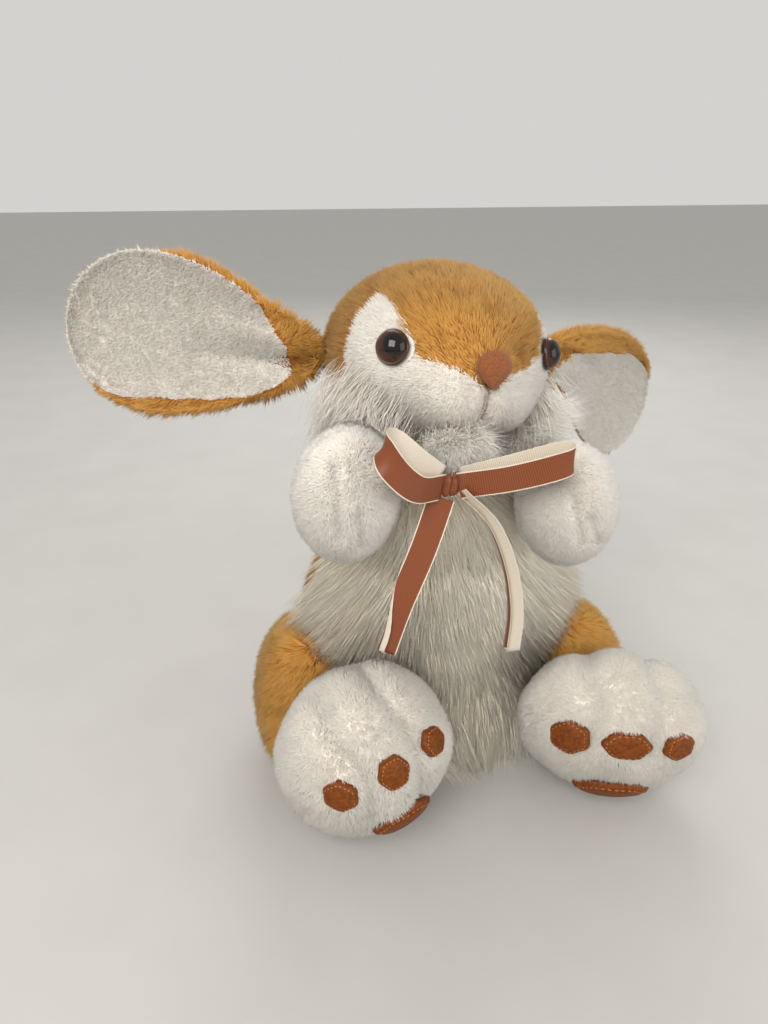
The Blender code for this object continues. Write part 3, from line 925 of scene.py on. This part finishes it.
def on_patch(form, frame_of_patch, u, v, lift):
    """A point of a patch, u across and v upward in metres from its middle."""
    centre, across, upward, reach = frame_of_patch
    unit = centre + across * (u / reach) + upward * (v / reach)
    return Vector(form.place(np.array(unit.normalized())[None], lift)[0])


def patch_mesh(form, where, steps, spot_and_lift, under):
    """A closed patch: spot_and_lift gives u, v and the lift of a point of the unit disc."""
    front, back = [], []
    for line in disc(steps):
        shaped = [spot_and_lift(u, v) for u, v in line]
        front.append([on_patch(form, where, *spot) for spot in shaped])
        back.append([on_patch(form, where, u, v, -under) for u, v, _ in shaped])
    return grid_mesh(front, back)


def build_nose(look, form):
    """A raised suede nose, rounded above and drawn to a point below."""
    def dome(u, v):
        squeeze = 1.0 - 0.62 * max(0.0, -v) + 0.10 * max(0.0, v)
        height = math.sqrt(max(0.0, 1.0 - (u * u + v * v) * 0.97))
        return u * squeeze * 8.4 * MM, v * 10.4 * MM, (0.2 + 2.8 * height) * MM

    mesh = patch_mesh(form, patch_frame(form, NOSE_UNIT), 16, dome, 1.5 * MM)
    made = new_object("nose_suede", mesh, look["suede"], "head")
    made.data.materials.append(look["suede"])
    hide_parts("nose_patch")


def smooth_path(points, steps):
    """Points along a smooth curve through a few guide points."""
    guides = [Vector(point) for point in points]
    guides = [guides[0] * 2 - guides[1]] + guides + [guides[-1] * 2 - guides[-2]]
    path = []
    for index in range(1, len(guides) - 2):
        before, start, end, after = guides[index - 1:index + 3]
        for step in range(steps):
            t = step / steps
            place = start * 2 + (end - before) * t
            place += (before * 2 - start * 5 + end * 4 - after) * t ** 2
            place += (start * 3 - before - end * 3 + after) * t ** 3
            path.append(place * 0.5)
    path.append(guides[-2])
    return path


def tube(path, radius, sides=8):
    """A round-ended thread along a path."""
    mesh = bmesh.new()
    rings = []
    for index, place in enumerate(path):
        ahead = (path[min(index + 1, len(path) - 1)] - path[max(index - 1, 0)]).normalized()
        turn = ahead.to_track_quat("Z", "Y").to_matrix()
        share = 2.0 * index / (len(path) - 1) - 1.0
        thick = radius * math.sqrt(max(0.05, 1.0 - share ** 6))
        rings.append(ring_of(mesh, sides, thick, 0.0, place, turn))
    join_rings(mesh, rings)
    mesh.faces.new(rings[0])
    mesh.faces.new(rings[-1])
    return closed_up(mesh)


def build_mouth(look, skin):
    """The mouth: a thread down the muzzle's crease, and a short stitch beside it."""
    drop = [skin.at((0.01, -1.0, height), 3.7 * MM) for height in (-0.26, -0.36, -0.48, -0.60)]
    drop.append(skin.at((-0.06, -1.0, -0.72), 3.8 * MM))
    aside = [skin.at((-0.25, -1.0, -0.56), 4.2 * MM), skin.at((-0.25, -1.0, -0.66), 4.8 * MM),
             skin.at((-0.22, -1.0, -0.76), 4.6 * MM)]
    stitches = bmesh.new()
    for guides in (drop, aside):
        stitches.from_mesh(tube(smooth_path(guides, 6), 0.5 * MM))
    made = new_object("mouth_thread", as_mesh(stitches), look["thread"], "head")
    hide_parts("mouth_stitch")


# ---------------------------------------------------------------- ears

def build_ear(look, side, white_size, white_middle, wrap):
    """A cupped ear: a tan back whose pile fringes the rim, and a white lining in the hollow.

    white_size is the lining's tip, root and half width in millimetres, along and across the
    ear; white_middle is where the middle of its width lies at the tip and at the root; wrap is
    how far towards the root, as a share, the lining reaches round the ear's edge at -X.
    """
    form = Form(EARS[side], EAR_TAPER)
    body = "ear_" + side
    hollow = 0.42
    root = form.place(np.array(((0.0, 0.0, 1.0),)))[0]
    to_seat = np.array(EAR_SEATS[side]) * MM - root

    def lining(units, points):
        """1 inside the white lining, 0 on the tan cloth round it."""
        local = form.local(points) / MM
        tip, root, wide = white_size
        along = np.clip((local[:, 2] - tip) / (root - tip), 0.0, 1.0)
        half = wide * np.sin(math.pi * along ** 0.8) ** 0.7
        middle = white_middle[0] + (white_middle[1] - white_middle[0]) * ease(along, 0.55, 1.0)
        edge = half * (1.0 + 0.03 * waves(points, 14 * MM, 51)) - np.abs(local[:, 0] - middle)
        outer = (edge > 0.0) | (wrapped(units) > 0.5) | near_tip(units)
        return ((units[:, 1] < 0.06) & outer).astype(float)

    def near_tip(units):
        """True on the half towards the tip, up to a tan border that thins out to nothing."""
        across = units[:, 0] / np.sqrt(np.maximum(1.0 - units[:, 2] ** 2, 1e-6))
        border = 1.0 - 0.22 * ease(units[:, 2], -0.85, 0.0)
        return (across > 0.0) & (across < border) & (units[:, 2] < 0.0)

    tan = rest_of(lining)

    def fold_in(points, units):
        """Pushes the front half of the ball back into a cup with a fold that leads to the root."""
        local = form.local(points)
        front = units[:, 1] < 0.0
        cup = np.where(front, -hollow * local[:, 1], local[:, 1])
        toward_root = ease(units[:, 2], -0.2, 0.8)
        crease = np.exp(-((units[:, 0] - 0.12) / 0.16) ** 2) - 0.6 * np.exp(
            -((units[:, 0] + 0.28) / 0.18) ** 2)
        cup = cup + np.where(front, crease * toward_root * 3.0 * MM, 0.0)
        local[:, 1] = cup - 2.0 * MM * units[:, 0] ** 2
        return form.centre + form.world(local) + to_seat * ease(units[:, 2:3], 0.55, 0.97)

    def comb(units, points, normals):
        local = units * (1.0, 0.2, 1.0)
        local[:, 2] -= 0.55
        return form.world(local)

    def inner_comb(units, points, normals):
        return form.world(np.tile((0.2, 0.0, -1.0), (len(units), 1)))

    def fringe_length(units, points):
        """Longer pile along the rim, but short where the lining wraps over the rim's end."""
        whole = 6.5 + 3.0 * ease(-np.abs(units[:, 1]), -0.35, 0.0)
        whole *= 0.55 + 0.45 * ease(units[:, 2], -0.75, 0.1)
        return whole * (1.0 - 0.6 * wrapped(units)) * MM

    def wrapped(units):
        """1 along the stretch of rim that the white lining reaches round."""
        edge = ease(-units[:, 0], -0.15, 0.25) * ease(wrap - units[:, 2], 0.0, 0.3)
        return np.maximum(edge, ease(-units[:, 2], 0.62, 0.80))

    def tan_density(units, points):
        rim = ease(0.45 - units[:, 1], 0.0, 0.3)
        return tan(units, points) * (1.0 - 0.9 * rim * wrapped(units))

    skin = Skin(form, CLOTH_DEPTH["ear"] * MM, bend=fold_in)
    skin.piece(body + "_back_skin", look["tan_cloth"], body,
               [body + "_back"], tan)
    skin.piece(body + "_lining_skin", look["white_cloth"], body,
               [body + "_lining"], lining)
    grow(body + "_pile", body, look["tan_pile"], skin, 42000, fringe_length,
         0.62 * MM, comb, stand=0.35, density=tan_density, tuft=4.5, pull=0.35, wild=0.2,
         seed=51 + int(SIGN[side]))
    # the lining pile takes the darkened white pile: painted shade in the ear's hollow
    grow(body + "_lining_pile", body, look["painted_shade_pile"], skin, 36000, 3.2 * MM,
         0.55 * MM, inner_comb, stand=0.6, density=lining, tuft=2.6, pull=0.45, wild=0.35,
         seed=55 + int(SIGN[side]))


# ---------------------------------------------------------------- arms

def build_arm(look, side, fingers):
    """A mitten arm with two finger grooves sewn into its front."""
    form = Form(ARMS[side])
    body = "arm_" + side

    def seam(units, points):
        return np.abs(units[:, 1]) < 0.03

    def shape(units):
        lift = np.zeros(len(units))
        for start, end in fingers:
            lift -= 2.3 * valley(units, start, end, 0.12)
        lift -= 1.2 * np.exp(-(units[:, 1] / 0.07) ** 2)
        return lift * MM

    skin = Skin(form, CLOTH_DEPTH["arm"] * MM, seam=seam, shape=shape)
    names = [body + "_front_cover", body + "_palm_cover", body + "_stuffing"]
    skin.piece(body + "_skin", look["white_cloth"], body, names)
    grow(body + "_pile", body, look["white_pile"], skin, 40000, 3.9 * MM,
         0.72 * MM, towards((0, -0.2, -1)), stand=0.84, tuft=3.2, pull=0.30, wild=0.30,
         seed=61 + int(SIGN[side]))


# ---------------------------------------------------------------- legs

def pad_places(side):
    """The unit direction and half sizes, in millimetres, of each leather pad of a foot."""
    turn = np.array(Matrix.Rotation(-TOE_CURL[side], 3, "X"))
    places = []
    for spread, size in zip((-0.58, 0.0, 0.58), PAD_SIZES[side]):
        unit = np.array((spread, -0.72 + 0.17 * abs(spread), 0.70 - 0.17 * abs(spread)))
        places.append((turn @ unit, size))
    places.append((turn @ np.array((0, -1, SOLE_PAD_RISE[side])), (15.0, 10.0)))
    return places


def build_leg(look, side):
    """A tan thigh and a big white foot with toes and stitched leather pads."""
    body = "leg_" + side
    thigh = Form(THIGHS[side], floor=FLOOR_GAP)
    foot = Form(FEET[side], floor=FLOOR_GAP)
    pads = [(unit_of(unit), size) for unit, size in pad_places(side)]

    def shown_thigh(units, points):
        return ease(points[:, 2], 1.0 * MM, 4.0 * MM)

    def above_floor(points):
        points[:, 2] = np.maximum(points[:, 2], 1.0 * MM)
        return points

    def foot_seam(units, points):
        return np.abs(units[:, 1] + 0.35) < 0.03

    def toes(units):
        """Three toe lobes parted by soft creases that run back over the foot."""
        over = ease(units[:, 2], 0.10, 0.55)
        lift = 1.4 * over + 0.8 * waves(units, 0.7, 81)
        for crease in (-0.33, 0.31):
            wander = crease + 0.05 * np.sin(units[:, 1] * 5.0 + crease * 9.0)
            lift -= 3.4 * over * np.exp(-((units[:, 0] - wander) / 0.13) ** 2)
        lift -= 1.0 * np.exp(-((units[:, 1] + 0.35) / 0.05) ** 2) * (1.0 - over)
        return lift * MM

    def tucked(points, units):
        """Draws the part of the foot that is behind the ankle in towards the ankle."""
        behind = (points - ANKLE_PLACE) @ ANKLE_NORMAL
        return points - ANKLE_NORMAL * (np.minimum(behind, 0.0) * 0.65)[:, None]

    def off_pads(units, points):
        clear = ease(points[:, 2], 0.9 * MM, 2.5 * MM) + 0.15
        for unit, (wide, high) in pads:
            where = patch_frame(foot, unit)
            local = (units - np.array(where[0])) * where[3]
            u = local @ np.array(where[1]) / (wide * MM)
            v = local @ np.array(where[2]) / (high * MM)
            facing = units @ unit > 0.5
            clear *= 1.0 - (np.hypot(u, v) < 0.95) * facing
        return clear

    def behind_ankle(points, units):
        """Draws the front of the thigh back to the ankle seam, inside the foot."""
        past = (points - ANKLE_PLACE) @ ANKLE_NORMAL
        return points - ANKLE_NORMAL * (np.maximum(past, 0.0) * 0.75)[:, None]

    thigh_skin = Skin(thigh, CLOTH_DEPTH["thigh"] * MM, bend=behind_ankle)
    thigh_nodes = ["thigh_%s_%s" % (side, part)
                   for part in ("outer_cover", "inner_cover", "stuffing")]
    thigh_skin.piece("thigh_%s_skin" % side, look["tan_cloth"], body, thigh_nodes)
    grow("thigh_%s_pile" % side, body, look["tan_pile"], thigh_skin, 48000, 9.5 * MM,
         0.7 * MM, towards((0.7 * SIGN[side], 0.15, -0.7)), stand=0.44, density=shown_thigh,
         tuft=6, pull=0.3, wild=0.16, seed=71 + int(SIGN[side]), guard=above_floor)
    foot_skin = Skin(foot, CLOTH_DEPTH["foot"] * MM, seam=foot_seam, shape=toes, bend=tucked)
    foot_nodes = ["foot_%s_%s" % (side, part) for part in ("sole_cover", "upper_cover", "stuffing")]
    foot_skin.piece("foot_%s_skin" % side, look["white_cloth"], body, foot_nodes)
    # the foot pile takes the darkened white pile: painted shade on the feet
    grow("foot_%s_pile" % side, body, look["painted_shade_pile"], foot_skin, 62000,
         3.9 * MM, 0.72 * MM, away_from(foot, (0, 0.9, 0.3)), stand=0.86, density=off_pads,
         tuft=3.2, pull=0.30, wild=0.30, seed=75 + int(SIGN[side]), guard=above_floor)
    names = ["toe_pad_%s_%d" % (side, index) for index in (1, 2, 3)] + ["sole_pad_" + side]
    for (unit, size), node in zip(pads, names):
        build_pad(look, foot, body, node, unit, size)


def build_pad(look, form, body, node, unit, size):
    """A rounded leatherette pad with a raised middle and a ring of stitches inside its edge."""
    where = patch_frame(form, unit)
    wide, high = size

    def outline(angle):
        """A soft hexagon, as a share of the oval it is cut from."""
        return 1.0 + 0.045 * math.cos(6 * angle)

    def height(share):
        """Lift over the pad: tucked edge, stitched groove, and a gentle crown inside."""
        groove = math.exp(-((share - 0.80) / 0.07) ** 2)
        return (1.1 - 1.9 * max(0.0, share - 0.86) / 0.14 - 0.45 * groove
                + 0.7 * (1.0 - share ** 2)) * MM

    def crown(u, v):
        edge = outline(math.atan2(v, u)) * MM
        return u * edge * wide, v * edge * high, height(math.hypot(u, v))

    mesh = patch_mesh(form, where, 18, crown, 2.0 * MM)
    pad = new_object(node + "_leather", mesh, look["leather"], body)
    pad.data.materials.append(look["leather"])
    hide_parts(node)
    stitches = bmesh.new()
    around = math.pi * (wide + high) * 0.80
    count = int(around / 2.0)
    for index in range(count):
        path = []
        for step in range(4):
            angle = math.tau * (index + 0.14 + 0.72 * step / 3) / count
            share = 0.80 * outline(angle)
            spot = (share * math.cos(angle) * wide * MM, share * math.sin(angle) * high * MM)
            rise = 0.12 if 0 < step < 3 else -0.25
            path.append(on_patch(form, where, *spot, height(0.80) + rise * MM))
        stitches.from_mesh(tube(path, 0.24 * MM, 6))
    new_object(node + "_stitching", as_mesh(stitches), look["stitch"], body)


# ---------------------------------------------------------------- ribbon bow

def build_ribbon(look, name, guides, across, notch=0.0, fold=None):
    """A satin band with a pale reverse and picot edges, along a smooth path of guide points.

    across gives the direction of its width at the two ends. fold turns one edge over: its side,
    the face it is turned towards, where along the band it starts, and its depth at the end.
    """
    path = smooth_path([Vector(point) * MM for point in guides], 10)
    spreads = [Vector(direction).normalized() for direction in across]
    inner = [step * 0.2 for step in range(-4, 5)]
    stations = [-1.0, -0.955, -0.91] + inner + [0.91, 0.955, 1.0]
    front, back = [], []
    length = 0.0
    last = len(path) - 1
    for index, place in enumerate(path):
        ahead = path[min(index + 1, last)] - path[max(index - 1, 0)]
        if index:
            length += (place - path[index - 1]).length
        where = index / last * (len(spreads) - 1)
        here = min(int(where), len(spreads) - 2)
        spread = spreads[here].lerp(spreads[here + 1], where - here)
        facing = ahead.cross(spread).normalized()
        spread = facing.cross(ahead).normalized() * (RIBBON_WIDTH / 2)
        end = ease(index / last, 0.8, 1.0)
        top, bottom = [], []
        for station in stations:
            picot = 0.012 * math.sin(length / MM * 4.2) if abs(station) == 1.0 else 0.0
            slide = ahead.normalized() * (notch * (abs(station) - 0.5) * end)
            spot = place + spread * station * (1.0 + picot) + slide
            over = 0.0
            if fold:
                side, turned, start, depth = fold
                depth_here = depth * ease(index / last, start, start + 0.45)
                over = max(0.0, side * station - 1.0 + depth_here)
                turn = facing * turned * 0.45 - spread.normalized() * side * 1.85
                spot += turn * (over * RIBBON_WIDTH / 2)
            thick = facing * (RIBBON_HALF_THICKNESS if over < 0.05 else -RIBBON_HALF_THICKNESS)
            top.append(spot + thick)
            bottom.append(spot - thick)
        front.append(top)
        back.append(bottom)
    mesh = grid_mesh(front, back, "weave")
    count = len(stations) - 1
    for index, face in enumerate(mesh.polygons):
        if index < (len(path) - 1) * count and index % count in (0, 1, count - 2, count - 1):
            face.material_index = 1
    made = new_object(name + "_satin", mesh, look["satin"], "root")
    made.data.materials.append(look["reverse"])
    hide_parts(name)


def build_bow(look):
    """The neck band, the knot, two loops and two loose ends."""
    neck = [(-14, -66, 181), (7, -46, 176), (24, -18, 170)]
    for index in range(9):
        angle = math.radians(60 + 30 * index)
        neck.append((NECK_RADIUS * math.sin(angle), 9 - NECK_RADIUS * math.cos(angle), 168))
    neck += [(-26, -18, 170), (-24, -46, 176), (-19, -66, 181)]
    upright = ((0, 0, 1), (0, 0, 1))
    build_ribbon(look, "neck_ribbon", neck, upright)
    right = [(-20, -73, 183), (-33, -82, 187), (-44, -85, 198), (-47, -80, 206), (-42, -75, 205),
             (-32, -74, 196), (-21, -70, 186)]
    left = [(-13, -73, 183), (8, -81, 188), (27, -88, 195), (32, -85, 197), (27, -80, 196),
            (8, -75, 190), (-10, -69, 184)]
    build_ribbon(look, "bow_loop_right", right, ((-0.35, -0.1, -1), (-0.35, -0.1, -1)))
    build_ribbon(look, "bow_loop_left", left, upright)
    fall_right = [(-20, -72, 178), (-29, -77, 156), (-40, -80, 131), (-47, -79, 108)]
    fall_left = [(-12, -72, 180), (0, -78, 167), (8, -81, 147), (12, -82, 124), (12, -81, 102)]
    build_ribbon(look, "bow_tail_right", fall_right, ((1, 0, 0.4), (0.9, -0.4, 0)),
                 fold=(-1, 1, 0.45, 0.6))
    build_ribbon(look, "bow_tail_left", fall_left, ((-0.5, 0.85, 0), (-0.65, 0.75, 0)),
                 notch=-4 * MM, fold=(1, -1, -0.35, 0.6))
    knot_form = Form((KNOT / MM, (7.5, 4.5, 6), (0, 10, 0)))

    def pleats(units):
        return (0.5 * np.cos(units[:, 0] * 11) - 0.8 * mound(units, (0, -1, 0), 0.5)) * MM

    skin = Skin(knot_form, 0.0, shape=pleats)
    mesh = mesh_of(skin.points, skin.faces)
    knot = new_object("bow_knot_satin", mesh, look["satin"], "root")
    layer = mesh.uv_layers.new(name="weave")
    corners = skin.units[skin.faces.ravel()]
    uv = np.stack((corners[:, 2], corners[:, 0]), axis=1) * 0.5 + 0.5
    layer.data.foreach_set("uv", uv.astype(np.float32).ravel())
    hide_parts("bow_knot")


# ---------------------------------------------------------------- camera, light and floor

def set_up_camera():
    """The camera at the three-quarter view from above."""
    azimuth, elevation = math.radians(-12), math.radians(25)
    back = Vector((math.sin(azimuth) * math.cos(elevation),
                   -math.cos(azimuth) * math.cos(elevation), math.sin(elevation)))
    camera = placed("camera", bpy.data.cameras.new("camera"))
    camera.location = (-0.10366, -0.34800, 0.30515)
    camera.rotation_mode = "QUATERNION"
    camera.rotation_quaternion = (-back).to_track_quat("-Z", "Y")
    camera.data.lens = 26
    camera.data.sensor_width = 36
    camera.data.clip_start = 0.01
    bpy.context.scene.camera = camera


def add_light(name, place, aim, size, power, colour):
    """A large soft light that faces a point."""
    lamp = bpy.data.lights.new(name, "AREA")
    lamp.size = size
    lamp.energy = power
    lamp.color = colour
    made = placed(name, lamp)
    made.location = place
    made.rotation_mode = "QUATERNION"
    made.rotation_quaternion = (Vector(aim) - Vector(place)).to_track_quat("-Z", "Y")


def set_up_studio(look):
    """A pale floor, a pale world and three soft lights."""
    world = bpy.data.worlds.new("studio")
    world.use_nodes = True
    world.node_tree.nodes["Background"].inputs["Color"].default_value = (0.84, 0.83, 0.81, 1.0)
    world.node_tree.nodes["Background"].inputs["Strength"].default_value = 0.78
    bpy.context.scene.world = world
    bpy.context.scene.view_settings.view_transform = "Standard"
    middle = (0, -0.02, 0.14)
    add_light("key", (-0.60, -0.95, 1.00), middle, 0.8, 14.0, (1.0, 0.97, 0.93))
    add_light("fill", (0.95, -0.90, 0.45), middle, 1.0, 5.5, (1.0, 0.98, 0.96))
    add_light("rim", (0.30, 0.95, 0.90), middle, 0.8, 6.0, (1.0, 0.99, 0.97))
    floor_mesh = bpy.data.meshes.new("floor")
    floor_mesh.from_pydata([(-6, -6, 0), (6, -6, 0), (6, 6, 0), (-6, 6, 0)], [], [(0, 1, 2, 3)])
    floor_mesh.materials.append(look["floor"])
    placed("floor", floor_mesh)


def main():
    """Dresses the whole frame."""
    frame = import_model()
    set_up_camera()
    look = finishes()
    set_up_studio(look)
    build_torso(look)
    build_head(look)
    build_ear(look, "right", (-55, 50, 37), (-6.5, 5.0), -0.05)
    build_ear(look, "left", (-66, 51, 31), (-9.0, -17.0), 0.8)
    build_arm(look, "right", [((-0.40, 0.57), (-0.25, -0.36)), ((0.07, -0.03), (0.19, -0.49))])
    build_arm(look, "left", [((-0.23, 0.39), (-0.05, -0.33)), ((0.13, 0.05), (0.34, -0.44))])
    build_leg(look, "right")
    build_leg(look, "left")
    build_bow(look)
    for name in ("eye_washer_right", "eye_washer_left"):
        frame["nodes"][name].data.materials.clear()
        frame["nodes"][name].data.materials.append(look["washer"])


main()
